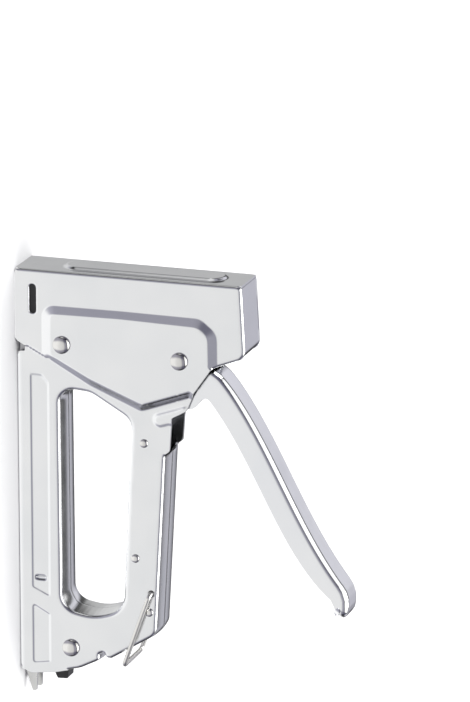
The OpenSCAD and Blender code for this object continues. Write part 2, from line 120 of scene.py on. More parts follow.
def rounded(corners, arc=math.radians(7)):
    """A closed line through the corners, each one replaced by a circle's arc that touches both sides.
    The arc's centre lies on the line that halves the corner, at radius / sin(half the angle)."""
    c = np.array(corners, float)
    parts = []
    for before, here, after in zip(np.roll(c, 1, 0), c, np.roll(c, -1, 0)):
        u, v = unit(before[:2] - here[:2]), unit(after[:2] - here[:2])
        half = math.acos(np.clip(u @ v, -1, 1)) / 2
        radius = here[2]
        if radius < 0.01 or half > math.radians(89):
            parts.append(here[None, :2])
            continue
        centre = here[:2] + unit(u + v) * radius / math.sin(half)
        start = here[:2] + u * radius / math.tan(half) - centre
        bend = (math.pi - 2 * half) * np.sign(cross2(-u, v))
        a = np.linspace(0, bend, max(2, math.ceil(abs(bend) / arc) + 1))[:, None]
        parts.append(centre + np.cos(a) * start + np.sin(a) * np.array([-start[1], start[0]]))
    return np.vstack(parts)


def inset(corners, d):
    """The same corners moved inwards by d, for a line that runs anticlockwise. A corner moves along the
    sum of its two sides' normals, and its radius shrinks on an outer corner and grows on an inner one."""
    c = np.array(corners, float)
    e = unit(c[:, :2] - np.roll(c, 1, 0)[:, :2])
    f = np.roll(e, -1, 0)
    m, k = np.c_[-e[:, 1], e[:, 0]], np.c_[-f[:, 1], f[:, 0]]
    moved = c[:, :2] + (m + k) * d / (1 + (m * k).sum(1, keepdims=True))
    return np.c_[moved, np.maximum(0, c[:, 2] - d * np.sign(cross2(e, f)))]


def pill(a, b, r):
    """Four corners of a slot with round ends between a and b."""
    a, b = np.array(a, float), np.array(b, float)
    along = unit(b - a) * r
    side = np.array([-along[1], along[0]])
    ends = [a - along - side, b + along - side, b + along + side, a - along + side]
    return [(p[0], p[1], r - 0.02) for p in ends]


def ring(at, r, n=28):
    """A circle as a closed line."""
    a = np.linspace(0, 2 * math.pi, n, endpoint=False)
    return np.c_[at[0] + r * np.cos(a), at[1] + r * np.sin(a)]


def dense(line, step=1.0):
    """The closed line with no side longer than step."""
    ends = np.roll(line, -1, 0)
    return np.vstack([
        p + (q - p) * np.linspace(0, 1, max(1, math.ceil(np.hypot(*(q - p)) / step)), endpoint=False)[:, None]
        for p, q in zip(line, ends)
    ])


def edge_facts(points, line):
    """For each point and a closed line: how far inside it is (negative outside), how far along the line
    its nearest spot is, that spot, and the direction that points out of the line there."""
    a, b = line, np.roll(line, -1, 0)
    e = b - a
    size = np.hypot(*e.T)
    along = np.r_[0, np.cumsum(size)[:-1]]
    side = np.c_[e[:, 1], -e[:, 0]] / np.maximum(size, 1e-9)[:, None]
    corner = unit(side + np.roll(side, 1, 0))
    results = []
    for p in np.array_split(points, max(1, len(points) // 4000)):
        rel = p[:, None] - a
        t = np.clip((rel * e).sum(2) / np.maximum(size**2, 1e-12), 0, 1)
        gap = np.hypot(*np.moveaxis(rel - t[..., None] * e, 2, 0))
        k = gap.argmin(1)
        row = np.arange(len(p))
        tk = t[row, k]
        level = (a[:, 1] > p[:, 1:]) != (b[:, 1] > p[:, 1:])
        with np.errstate(divide="ignore", invalid="ignore"):
            reach = p[:, :1] < a[:, 0] + e[:, 0] * (p[:, 1:] - a[:, 1]) / e[:, 1]
        inside = (level & reach).sum(1) % 2 == 1
        n = unit(corner[k] * (1 - tk)[:, None] + np.roll(corner, -1, 0)[k] * tk[:, None])
        depth = np.where(inside, 1, -1) * gap[row, k]
        results.append((depth, along[k] + tk * size[k], a[k] + tk[:, None] * e[k], n))
    return [np.concatenate(column) for column in zip(*results)]


def depth_in(points, line):
    """How far inside a closed line each point is, negative outside."""
    return edge_facts(points, line)[0]


def ease(low, high, t):
    """0 below low, 1 above high, and a smooth S between."""
    s = np.clip((t - low) / (high - low), 0, 1)
    return s * s * (3 - 2 * s)


print("outline helpers ready")

# %% [markdown]
# ## Pressed sheet
# A shell half is one sheet pushed over a form: a face, a rounded bend along some of its edges, and a
# wall folded in behind the bend. The face is a square grid trimmed to the outline, with a height at
# every point. The bend and the wall are a quarter circle and a straight line carried along the edge,
# on a strip of their own whose first row repeats the face's rim. The two rows are joined afterwards,
# so that they make one skin, and Solidify gives it the sheet's thickness. How far a bend reaches is a
# number, or an outline that it has to meet.

# %% Trimmed grid
def spaced(low, high, step, fine=()):
    """Numbers from low to high about step apart, and only half that far apart within each fine span."""
    at = np.linspace(low, high, 4000)
    pace = np.full(at.shape, 1 / step)
    for start, end in fine:
        pace[(at > start) & (at < end)] = 2 / step
    count = np.cumsum(pace) * (at[1] - at[0])
    return np.interp(np.arange(0, int(count[-1]) + 1), count, at)


def trimmed_grid(loops, step, fine_x=(), fine_z=()):
    """A square grid kept where it lies inside the first closed line and outside the others, its rim
    moved onto the nearest of the lines. Returns points, quads and, for each line, its rim in order."""
    low, high = loops[0].min(0) - step * 0.5, loops[0].max(0) + step
    xs, zs = spaced(low[0], high[0], step, fine_x), spaced(low[1], high[1], step, fine_z)
    points = np.stack(np.meshgrid(xs, zs, indexing="ij"), -1).reshape(-1, 2)
    cell = (np.arange(len(xs) - 1)[:, None] * len(zs) + np.arange(len(zs) - 1)).ravel()
    quads = cell[:, None] + np.array([0, len(zs), len(zs) + 1, 1])
    centres = points[quads].mean(1)
    kept = depth_in(centres, loops[0]) > 0
    for hole in loops[1:]:
        kept &= depth_in(centres, hole) < 0
    quads = quads[kept]
    count = np.bincount(quads.ravel(), minlength=len(points))
    rim = np.flatnonzero((count > 0) & (count < 4))
    facts = [edge_facts(points[rim], dense(line)) for line in loops]
    nearest = np.abs([f[0] for f in facts]).argmin(0)
    edges = []
    for i, f in enumerate(facts):
        mine = nearest == i
        points[rim[mine]] = f[2][mine]
        order = np.argsort(f[1][mine])
        edges.append((rim[mine][order], f[3][mine][order]))
    used, where = np.unique(quads, return_inverse=True)
    new_index = np.full(len(points), -1)
    new_index[used] = np.arange(len(used))
    return points[used], where.reshape(-1, 4), [(new_index[e], n) for e, n in edges]


print("from 0 to 3, finer from 1 to 2:", spaced(0, 3, 0.5, [(1, 2)]).round(2))

# %% Face, bend and wall
BEND_ROWS = 7
HAIR = 1e-4


def fanned(p, normal, most=math.radians(10)):
    """Repeats the rim points where the normals spread apart, so that no two neighbouring normals differ
    by more than most and a tight outer corner is followed all round. Returns which point each one
    repeats, and the unit normals."""
    angle = np.arctan2(normal[:, 1], normal[:, 0])
    turn = (np.roll(angle, -1) - angle + math.pi) % (2 * math.pi) - math.pi
    spread = ((np.roll(normal, -1, 0) - normal) * (np.roll(p, -1, 0) - p)).sum(1) > 0
    count = np.where(spread, np.maximum(1, np.ceil(np.abs(turn) / most)), 1).astype(int)
    index = np.repeat(np.arange(len(p)), count)
    share = (np.arange(len(index)) - np.repeat(np.cumsum(count) - count, count)) / count[index]
    angle = angle[index] + turn[index] * share
    return index, np.c_[np.cos(angle), np.sin(angle)]


def ray_length(p, normal, line):
    """How far each point is from a closed line along its normal: the smallest t > 0 at which
    p + t * normal = a + s * e on a side from a along e, with s from 0 to 1 and a hair more, so that a
    ray through a corner isn't missed."""
    e = np.roll(line, -1, 0) - line
    rel = line - p[:, None]
    lean = cross2(normal[:, None], e)
    with np.errstate(divide="ignore", invalid="ignore"):
        t, s = cross2(rel, e) / lean, cross2(rel, normal[:, None]) / lean
    return np.where((s > -HAIR) & (s < 1 + HAIR) & (t > 0), t, np.inf).min(1)


def pressed(loops, rims, out, fold, step, wall_rows=7, **fine):
    """A pressed sheet on the near side, as vertices and quads in millimetres. out(points) is the face's
    distance from the mid-plane. A line's rim is the bend's radius, or the closed line that the bend
    reaches. fold(points, i) gives, along line i, how much of the bend there is (0 for a plain cut edge,
    1 for a full quarter circle), the distance from the mid-plane at which the wall behind the bend
    ends, and its crown. A bend's point stands rim * sin(angle) outwards and rim * (1 - cos(angle))
    down, and a wall swells by crown * (1 - (1 - share) ^ 2)."""
    flat, quads, edges = trimmed_grid(loops, step, **fine)
    face = out(flat)
    vertices = [np.c_[flat[:, 0], -face, flat[:, 1]]]
    faces = [quads]
    total = len(flat)
    for i, (row0, normal) in enumerate(edges):
        p, rim = flat[row0], rims[i]
        if i:
            normal = -normal
        if not np.isscalar(rim):
            normal = unit(edge_facts(p, rim)[2] - p)
        index, normal = fanned(p, normal)
        p = p[index]
        rim = np.full(len(p), rim) if np.isscalar(rim) else ray_length(p, normal, rim)
        y0 = -out(p)
        bent, end, crown = fold(p + normal * rim[:, None], i)
        angle = np.linspace(0, math.pi / 2, BEND_ROWS)[1:, None]
        reach = rim * (bent * np.sin(angle) + (1 - bent) * angle / (math.pi / 2))
        drop = rim * bent * (1 - np.cos(angle))
        share = np.linspace(0, 1, wall_rows + 1)[1:, None]
        y_bend = y0 + rim * bent
        y_wall = y_bend + np.maximum(0, -end - y_bend) * share
        reach = np.vstack([np.zeros(len(p)), reach, reach[-1] + crown * (1 - (1 - share) ** 2)])
        y = np.vstack([y0, y0 + drop, y_wall])
        xz = p + normal * reach[..., None]
        vertices.append(np.stack([xz[..., 0], y, xz[..., 1]], -1).reshape(-1, 3))
        n, rows = len(p), len(y)
        a = total + np.arange(rows * n).reshape(rows, n)
        b = np.roll(a, -1, 1)
        strip = np.stack([a[:-1], a[1:], b[1:], b[:-1]], -1)
        if i:
            strip = strip[..., ::-1]
        wall = np.vstack([np.ones((BEND_ROWS - 1, n), bool), np.tile(-end - y_bend > 0.05, (wall_rows, 1))])
        wall &= np.roll(wall, -1, 1)
        faces.append(strip[wall])
        total += rows * n
    return np.vstack(vertices), np.vstack(faces)


print(f"a bend has {BEND_ROWS} rows, {90 / (BEND_ROWS - 1):.0f} degrees apart")

# %% [markdown]
# ## Meshes and finishing
# The arrays go into a mesh in one step. Thickness and a hair-fine bevel on the cut edges come from
# modifiers, which are then made part of the mesh, so that only edges that are really sharp stay sharp.

# %% Mesh helpers
WELD, NO_LENGTH = 0.02, 0.004


def mesh_object(name, vertices, faces, mirrored=False):
    """An object at the origin from arrays in millimetres. mirrored swaps near and far side."""
    v = np.array(vertices, float) * MM
    f = [np.array(block) for block in (faces if isinstance(faces, list) else [faces])]
    if mirrored:
        v = v * np.array([1, -1, 1])
        f = [block[:, ::-1] for block in f]
    mesh = bpy.data.meshes.new(name)
    mesh.from_pydata(v.tolist(), [], [row for block in f for row in block.tolist()])
    mesh.validate()
    piece = bpy.data.objects.new(name, mesh)
    bpy.context.scene.collection.objects.link(piece)
    return piece


def add_modifier(piece, kind, **settings):
    """One modifier with its settings."""
    modifier = piece.modifiers.new(kind.title(), kind)
    for key, value in settings.items():
        setattr(modifier, key, value)
    return modifier


def settle(piece, sharp=math.radians(38)):
    """Makes the modifiers part of the mesh, shades it smooth and marks the edges sharper than sharp."""
    solid = bpy.data.meshes.new_from_object(piece.evaluated_get(bpy.context.evaluated_depsgraph_get()))
    piece.modifiers.clear()
    solid.name = piece.name
    piece.data = solid
    solid.shade_smooth()
    solid.set_sharp_from_angle(angle=sharp)
    return piece


def drop_loose(piece):
    """Joins the vertices that lie together, as along a face's rim and the strip behind it, drops the
    edges that are left without a length, and removes the vertices that no face uses."""
    bm = bmesh.new()
    bm.from_mesh(piece.data)
    bmesh.ops.remove_doubles(bm, verts=bm.verts, dist=WELD * MM)
    bmesh.ops.dissolve_degenerate(bm, edges=bm.edges, dist=NO_LENGTH * MM)
    bmesh.ops.delete(bm, geom=[v for v in bm.verts if not v.link_faces], context="VERTS")
    bm.to_mesh(piece.data)
    bm.free()


def thicken(piece, sheet, bevel=0):
    """Gives a surface the sheet's thickness, inwards, and its cut edges a bevel of that width."""
    add_modifier(piece, "SOLIDIFY", thickness=sheet * MM, offset=-1)
    if bevel:
        add_modifier(piece, "BEVEL", width=bevel * MM, segments=2, angle_limit=math.radians(50))
    return settle(piece)


def finish_piece(piece, body, slot, material, *nodes):
    """Gives a piece its finish and says which body it moves with and which CAD nodes it stands for."""
    piece.data.materials.clear()
    piece.data.materials.append(material)
    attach(piece, body)
    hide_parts(*nodes)
    print(f"{piece.name}: {len(piece.data.polygons)} faces")
    return piece


print(f"mesh helpers ready, {WELD} mm joins two vertices")

# %% [markdown]
# ## Finishes
# Bright plating copies its surroundings, so its look lies in small things: a satin grain too fine to
# see, a slow ripple left by the press, hairline handling marks, and a roughness that changes a little
# from place to place. All of these are noise patterns in the material, read from object coordinates.

# %% Material helpers
NOISE_LOW, NOISE_HIGH = 0.3, 0.7


def new_material(name):
    """An empty node material and its shader."""
    material = bpy.data.materials.new(name)
    material.use_nodes = True
    tree = material.node_tree
    return material, tree, tree.nodes["Principled BSDF"]


def pattern(tree, scale, detail=3.0, stretch=(1, 1, 1), rough=0.55):
    """Noise on object coordinates, in features of about 1 / scale metres, drawn out by stretch."""
    coordinates = tree.nodes.new("ShaderNodeTexCoord")
    mapping = tree.nodes.new("ShaderNodeMapping")
    mapping.inputs["Scale"].default_value = stretch
    noise = tree.nodes.new("ShaderNodeTexNoise")
    noise.inputs["Scale"].default_value = scale
    noise.inputs["Detail"].default_value = detail
    noise.inputs["Roughness"].default_value = rough
    tree.links.new(coordinates.outputs["Object"], mapping.inputs["Vector"])
    tree.links.new(mapping.outputs["Vector"], noise.inputs["Vector"])
    return noise.outputs["Fac"]


def uneven(tree, shader, value, rough):
    """Roughness between two ends, by a pattern's value, and held at those ends."""
    node = tree.nodes.new("ShaderNodeMapRange")
    for key, number in zip(("From Min", "From Max", "To Min", "To Max"), (NOISE_LOW, NOISE_HIGH, *rough)):
        node.inputs[key].default_value = number
    tree.links.new(value, node.inputs["Value"])
    tree.links.new(node.outputs["Result"], shader.inputs["Roughness"])


def bumped(tree, shader, layers):
    """Adds bump layers, each a pattern's value with its height in metres."""
    previous = None
    for value, height in layers:
        bump = tree.nodes.new("ShaderNodeBump")
        bump.inputs["Strength"].default_value = 1.0
        bump.inputs["Distance"].default_value = height
        tree.links.new(value, bump.inputs["Height"])
        if previous is not None:
            tree.links.new(previous, bump.inputs["Normal"])
        previous = bump.outputs["Normal"]
    tree.links.new(previous, shader.inputs["Normal"])


def tinted(tree, shader, value, dark, light):
    """Base colour between two tones, by a pattern's value."""
    ramp = tree.nodes.new("ShaderNodeValToRGB")
    for element, place, tone in zip(ramp.color_ramp.elements, (NOISE_LOW, NOISE_HIGH), (dark, light)):
        element.position = place
        element.color = (*tone, 1)
    tree.links.new(value, ramp.inputs["Fac"])
    tree.links.new(ramp.outputs["Color"], shader.inputs["Base Color"])


def plated(name, dark, light, rough, ripple=0.00002, grain=0.0000012, scratch=0.0000015):
    """Bright plate: slow ripple, fine grain and hairlines in the bump, and an uneven sheen."""
    material, tree, shader = new_material(name)
    shader.inputs["Metallic"].default_value = 1.0
    tinted(tree, shader, pattern(tree, 45, 2), dark, light)
    uneven(tree, shader, pattern(tree, 130, 4), rough)
    hairline = pattern(tree, 260, 2, (0.06, 1, 1.5))
    layers = [(pattern(tree, 38, 1), ripple), (pattern(tree, 2600, 2), grain), (hairline, scratch)]
    bumped(tree, shader, layers)
    return material


def oiled_steel(name, dark, light, rough):
    """Plain working steel inside the tool: mottled and drawn out along its length."""
    material, tree, shader = new_material(name)
    shader.inputs["Metallic"].default_value = 1.0
    tinted(tree, shader, pattern(tree, 160, 5, (0.3, 1, 1)), dark, light)
    uneven(tree, shader, pattern(tree, 300, 4), rough)
    bumped(tree, shader, [(pattern(tree, 900, 4, (0.1, 1, 1)), 0.000006)])
    return material


def moulded(name, dark, light, rough):
    """Moulded nylon: spark-eroded texture and a soft sheen."""
    material, tree, shader = new_material(name)
    tinted(tree, shader, pattern(tree, 200, 3), dark, light)
    uneven(tree, shader, pattern(tree, 500, 4), rough)
    bumped(tree, shader, [(pattern(tree, 3500, 3), 0.00001)])
    return material


print("three kinds of finish: plated, oiled and moulded")

# %% Make the finishes
shell_chrome = plated("shell_chrome", (0.80, 0.81, 0.82), (0.84, 0.845, 0.85), (0.16, 0.21))
plate_chrome = plated("plate_chrome", (0.76, 0.77, 0.79), (0.82, 0.825, 0.84), (0.07, 0.11))
lever_chrome = plated("lever_chrome", (0.82, 0.83, 0.85), (0.86, 0.865, 0.875), (0.10, 0.15))
rivet_steel = plated("rivet_steel", (0.70, 0.69, 0.67), (0.78, 0.77, 0.75), (0.10, 0.17), 0.000008)
wire_steel = plated("wire_steel", (0.74, 0.73, 0.70), (0.82, 0.81, 0.78), (0.26, 0.34), 0.000004)
tab_steel = oiled_steel("tab_steel", (0.58, 0.58, 0.57), (0.70, 0.70, 0.69), (0.2, 0.3))
inner_steel = oiled_steel("inner_steel", (0.30, 0.30, 0.31), (0.44, 0.44, 0.45), (0.28, 0.42))
spring_wire = oiled_steel("spring_wire", (0.12, 0.12, 0.13), (0.22, 0.22, 0.24), (0.25, 0.4))
black_nylon = moulded("black_nylon", (0.012, 0.012, 0.013), (0.022, 0.022, 0.023), (0.4, 0.55))
print("finishes:", len(bpy.data.materials))

# %% [markdown]
# ## The two shells
# Each half is stamped from one sheet. A raised panel with sloping sides stiffens the head, shallow
# beads run along the magazine, and the hand hole is flanged so that it doesn't cut the fingers.
# The face's height is worked out from how far each point lies inside those outlines.

# %% Shell outlines
L = LENGTH
LIP = GRIP_TOP + 6.4
SIDE = [
    (0, 0, 0.6), (28.4, 0, 2.5), (30.3, 3.6, 0.4), (33.2, 3.3, 0.3), (33.4, 0, 0.4),
    (L - 2, 0, 1), (L, 4.5, 4), (L - 1.2, 14.4, 20), (L - 3.9, 24.8, 12), (L - 8, 32.7, 0.5),
    (L - 10.6, 32.7, 0.8), (L - 11.4, 34.6, 0.8), (L - 8.2, 36, 0.6), (L - 20.8, GRIP_TOP - 0.1, 5),
    (69.7, GRIP_TOP + 3.8, 0.4), (68.3, LIP - 0.6, 0.5), (54.8, LIP + 0.3, 1),
    (PIVOT[0] + 20.4, PIVOT[1] + 2, 1), (PIVOT[0] + 13.6, PIVOT[1] + 4.8, 1),
    (PIVOT[0] + 2.4, PIVOT[1] + 12.6, 1), (28.4, HEAD + 0.2, 4.5), (0, HEAD - 1.4, 0.6),
]
HAND_HOLE = [
    (50.5, 17.2, 5), (L - 27.8, 17.6, 7), (L - 25.4, 31, 20), (L - 29.6, 42.8, 9),
    (88.1, 44.8, 60), (57.3, 46.4, 6), (47.7, 29.8, 10), (47.1, 21.2, 6),
]
HEAD_SIDE = [
    (-3, -3, 0), (28.4, -3, 0), (30.3, 3.6, 0.6), (34.6, 12, 1), (34.6, HEAD + 9, 1), (-3, HEAD + 9, 0),
]
PANEL_TOP = [
    (17, 14.6, 2), (33.2, 14.6, 2), (41.2, 30.5, 5), (49.6, 51.9, 1.5), (42.2, 72.5, 1),
    (41, 78.4, 1), (20.8, 78, 4), (17.4, 74, 5), (16.6, 43, 30),
]
PANEL_FOOT = [
    (13.5, 10.9, 5), (34, 10.9, 1.2), (44.7, 29.9, 5), (53.1, 50.3, 2), (45.4, 71.4, 1),
    (44, 82, 1), (19, 81.8, 7), (13.6, 75, 6), (13.4, 43, 30),
]
BEAD_FRONT = [(42, 5.4, 1), (128.6, 5.4, 1), (132, 12.7, 0.8), (45.4, 12.9, 1), (42, 10, 2.5)]
BEAD_REAR = [(L - 29, 5.4, 1), (L - 4.2, 5.4, 1), (L - 5.4, 12.7, 0.8), (L - 25, 12.7, 1)]
NOSE_SLOT = pill((7.3, 7.2), (16.1, 7.2), 1.35)
DIMPLE = pill((124.6, 7.6), (124.6, 10.4), 1.1)
RIB = pill((56, 58.2), (50, 75), 2.6)
BEAD_DEPTH, DIMPLE_DEPTH, RIB_HEIGHT = 0.26, 0.75, 0.4
print("shell outline has", len(rounded(SIDE)), "points")


# %% Height of the shell's face
def slope(t, soft=0.12):
    """0 to 1 in a straight ramp with rounded ends, each a share soft of the ramp's length."""
    t = np.clip(t, 0, 1)
    m = np.minimum(t, 1 - t)
    low = np.where(m < soft, m * m / (2 * soft), m - soft / 2) / (1 - soft)
    return np.where(t < 0.5, low, 1 - low)


def shell_out(p):
    """Distance of the shell's face from the mid-plane: the grip's, stepped out at the head, raised to the
    panel by foot / (foot + top), the distances inside its foot's line and outside its top's, pressed in
    at the beads and the dimple, and out at the rib."""
    base = GRIP_OUT + (HEAD_OUT - GRIP_OUT) * ease(-0.5, 0.5, depth_in(p, rounded(HEAD_SIDE)))
    foot = depth_in(p, rounded(PANEL_FOOT))
    top = -depth_in(p, rounded(PANEL_TOP))
    share = np.where(top <= 0, 1, np.clip(foot, 0, None) / np.maximum(np.clip(foot, 0, None) + top, 1e-6))
    out = base + (PANEL_OUT - base) * slope(share)
    for bead in (BEAD_FRONT, BEAD_REAR):
        out -= BEAD_DEPTH * ease(-0.1, 0.5, depth_in(p, rounded(bead)))
    out -= DIMPLE_DEPTH * ease(-0.1, 0.7, depth_in(p, rounded(DIMPLE)))
    return out + RIB_HEIGHT * (1 - share) * ease(-0.2, 0.7, depth_in(p, rounded(RIB)))


MEETING, BASE_WALL, NO_WALL = 0.1, 4.6, 50
SLOT_WALL = GRIP_OUT - 1.4
HOLE_CROWN, GRIP_CROWN = 0.7, 0.45


def shell_fold(p, i):
    """Where the shell's edges are bent in, and how far from the mid-plane their walls end: almost on it
    where the two halves meet, and beyond the face, so that there is no wall, on a plain cut edge."""
    x, z = p.T
    if i == 1:
        return np.ones(len(p)), np.full(len(p), MEETING), HOLE_CROWN
    if i > 1:
        return np.ones(len(p)), np.full(len(p), SLOT_WALL), 0
    base = (z < 0.6) * ease(33.4, 34.4, x)
    front = (x < 0.6) * ease(0.4, 2, z)
    crown = (z > PIVOT[1] + 13.2) * ease(0, 0.6, x)
    grip = (z > 30) * ease(69.4, 71, x)
    rear = (z > 20) * (x > L - 12)
    bent = np.clip(front + crown + grip + rear + base, 0, 1)
    end = np.where(z < 0.6, BASE_WALL, np.where((grip > 0.5) | rear, MEETING, HEAD_OUT))
    return bent, np.where(bent > 0.5, end, NO_WALL), GRIP_CROWN * grip * bent


print("face at grip, head and panel:", shell_out(np.array([[100, 16], [10, 50], [30, 50]])).round(2))

# %% Build both shells
SHELL_RIM, HOLE_RIM, SLOT_RIM, BAIL_RIM = 1.3, 1.6, 0.5, 0.4
BAIL_HOLE, SHELL_STEP = 1.5, 0.62
shell_loops = [
    rounded(inset(SIDE, SHELL_RIM)), rounded(inset(HAND_HOLE, -HOLE_RIM)),
    rounded(inset(NOSE_SLOT, -SLOT_RIM)), ring(BAIL, BAIL_HOLE),
]
shell_rims = [SHELL_RIM, HOLE_RIM, SLOT_RIM, BAIL_RIM]
FINE_Z = [(4.8, 6.6), (9.4, 13.6), (76.5, 82.5)]
FINE_X = [(12.6, 18), (L - 40.5, L - 23), (L - 6.5, L - 3)]
shell_vertices, shell_faces = pressed(
    shell_loops, shell_rims, shell_out, shell_fold, SHELL_STEP, fine_x=FINE_X, fine_z=FINE_Z
)
for side, mirrored in (("left", False), ("right", True)):
    shell = mesh_object(f"{side}_shell_pressing", shell_vertices, shell_faces, mirrored)
    drop_loose(shell)
    thicken(shell, SHEET, 0.12)
    finish_piece(shell, "housing", "chrome_shell", shell_chrome, f"{side}_shell")

# %% [markdown]
# ## The lever
# The lever is a channel folded over a form: two flanges and a web between them, with a bend along
# its top edge. It is pressed like a shell, so the same functions make it: half a channel, mirrored.

# %% Lever outline
def cubic(a, p, q, b, n):
    """A cubic curve from a to b, pulled towards p and q."""
    t = np.linspace(0, 1, n)[:, None]
    s = 1 - t
    a, p, q, b = (np.array(end) for end in (a, p, q, b))
    return s**3 * a + 3 * s * s * t * p + 3 * s * t * t * q + t**3 * b


ARM_LENGTH, ARM_DROP, ARM_HALF = 22.0, math.radians(20), 3.1
LIFT_PIN = PIVOT - ARM_LENGTH * np.array([math.cos(ARM_DROP), math.sin(ARM_DROP)])
lever_top = cubic((37, 82.1), (60, 101.5), (92, 111), (116.3, 130.3), 40)[3:]
lever_top = np.vstack([cubic((34.6, 77.9), (37, 82.1), (37, 82.1), lever_top[0], 9)[:-1], lever_top])
lever_tip = np.array([
    (118.6, 131.8), (121.8, 132.9), (125, 133), (127.6, 132.6), (129.2, 131.6), (129.7, 130.6),
    (129.3, 129.7), (127.6, 128.7), (125, 127.6),
])
lever_low = cubic((122.2, 126.2), (105, 105.4), (71, 96.6), (47.2, 77.6), 40)
lever_foot = np.array([
    (46.4, 76.6), (46.3, 75.6), (46.9, 74.5), (48, 73.7), (50, 72), (50.9, 70.6), (51.2, 69.4),
    (50.4, 67.6), (48, 66.4),
])
arm_dir = unit(LIFT_PIN - PIVOT)
arm_down = np.array([-arm_dir[1], arm_dir[0]])
arm_ends = [LIFT_PIN + ARM_HALF * (s * arm_down + arm_dir) for s in (1, -1)]
lever_line = np.vstack([lever_top, lever_tip, lever_low, lever_foot])
lever_corners = [(x, z, 0) for x, z in lever_line] + [
    (PIVOT[0] + 5, PIVOT[1] - 6.3, 2), (PIVOT[0] - 3, PIVOT[1] - 6.3, 4),
    *[(p[0], p[1], ARM_HALF - 0.1) for p in arm_ends],
    (PIVOT[0] - 4, PIVOT[1] + 5.2, 4), (PIVOT[0] + 2.6, PIVOT[1] + 9, 3),
]
lever_side = rounded(lever_corners)[::-1]
print("lever outline has", len(lever_side), "points")


# %% Build the lever
LEVER_RIM, CUT_RIM, LEVER_STEP, LEVER_WALL_ROWS = 2.4, 0.5, 0.5, 6
CLEARANCE, NEARLY_ALL = 0.15, 0.96
web_path = np.vstack([PIVOT + (3.4, 10.6), lever_top, lever_tip[:-2]])
web_line = dense(np.vstack([web_path, web_path[::-1]]), 0.1)


def from_web(p):
    """How far each point is from the web's line."""
    return np.hypot(*(p[:, None] - web_line[None]).transpose(2, 0, 1)).min(1)


def inner_line(line):
    """The closed line moved inwards, by the bend's radius along the web and by a narrow margin along the
    cut edges. Points that come nearer to the line again, in tight corners, are dropped."""
    line = dense(line, 0.4)
    d = CUT_RIM + (LEVER_RIM - CUT_RIM) * (1 - ease(0.3, 2, from_web(line)))
    moved = line - edge_facts(line, line)[3] * d[:, None]
    return moved[depth_in(moved, line) > d * NEARLY_ALL]


def lever_out(p):
    """The flanges are flat, and clear the shells between which their foot swings by a hair more."""
    return np.full(len(p), LEVER_OUT - CLEARANCE)


def lever_fold(p, i):
    """The web runs along the top edge, from the root to the tip. At its ends the wall tapers off first,
    and then the bend, so that the web runs out into the flanges' cut edge."""
    gap = from_web(p)
    return 1 - ease(1.2, 3.2, gap), LEVER_OUT * ease(0.2, 1.8, gap), 0


lever_vertices, lever_faces = pressed(
    [inner_line(lever_side)], [lever_side], lever_out, lever_fold, LEVER_STEP, LEVER_WALL_ROWS
)
both_vertices = np.vstack([lever_vertices, lever_vertices * np.array([1, -1, 1])])
both_faces = np.vstack([lever_faces, lever_faces[:, ::-1] + len(lever_vertices)])
lever = mesh_object("lever_channel", both_vertices, both_faces)
drop_loose(lever)
thicken(lever, LEVER_SHEET, 0.15)
finish_piece(lever, "lever", "chrome_lever", lever_chrome, "lever_handle")

# %% [markdown]
# ## Rivets
# A rivet's head is a shallow dome with a short upright rim. It is a profile turned about the rivet's
# axis, closed at its pole, and the shank joins the two heads.

# %% Turned pieces
def turned(profile, at, n=48):
    """A profile of (radius, y) carried round the axis along Y through at. The first and last radius are 0,
    so the poles close."""
    a = np.linspace(0, 2 * math.pi, n, endpoint=False)
    r, y = np.array(profile, float).T
    r = np.maximum(r, 1e-4)
    x = at[0] + r[:, None] * np.cos(a)
    z = at[1] + r[:, None] * np.sin(a)
    vertices = np.stack([x, np.broadcast_to(y[:, None], x.shape), z], -1).reshape(-1, 3)
    grid = np.arange(len(r) * n).reshape(len(r), n)
    ahead = np.roll(grid, -1, 1)
    faces = np.stack([grid[:-1], ahead[:-1], ahead[1:], grid[1:]], -1).reshape(-1, 4)
    return vertices, faces


def rivet_profile(half, shank, head, rise):
    """A buttoned dome, an upright rim, the shank and the same again on the far side. The dome is a circle
    swelled towards a square: sine and cosine to the power 0.82."""
    a = np.linspace(0, math.pi / 2 * 0.98, 18)
    dome = np.c_[head * np.sin(a) ** 0.82, half + rise * (0.15 + 0.85 * np.cos(a) ** 0.82)]
    rim = [(head, half + 0.13 * rise), (head, half), (shank, half)]
    upper = np.vstack([dome, rim])
    return np.vstack([upper, upper[::-1] * np.array([1, -1])])


def rivets(name, places, half, shank, head, rise, node):
    """One piece for rivets of one size."""
    blocks = [turned(rivet_profile(half, shank, head, rise), at) for at in places]
    start = np.cumsum([0] + [len(v) for v, f in blocks[:-1]])
    faces = np.vstack([f + s for (v, f), s in zip(blocks, start)])
    piece = mesh_object(name, np.vstack([v for v, f in blocks]), faces)
    drop_loose(piece)
    settle(piece, math.radians(50))
    return finish_piece(piece, "housing", "rivet_steel", rivet_steel, node)


print("a rivet's profile has", len(rivet_profile(1, 1, 2, 1)), "points")


# %% Build the rivets
LARGE_RIVET, SMALL_RIVET = (2.5, 3.5, RIVET_RISE), (1.1, 1.7, 0.9)
GRIP_RIVETS = [(65.9, 51.6), (L - 51.3, 47.9), (L - 29.9, GRIP_TOP - 2.8)]
rivets("front_rivet_domed", [middle("front_rivet")], PANEL_OUT, *LARGE_RIVET, "front_rivet")
rivets("pivot_rivet_domed", [PIVOT], PANEL_OUT, *LARGE_RIVET, "pivot_rivet")
rivets("rear_rivet_domed", [middle("rear_rivet")], GRIP_OUT, *LARGE_RIVET, "rear_rivet")
rivets("grip_rivets_domed", GRIP_RIVETS, GRIP_OUT, *SMALL_RIVET, "grip_rivets")

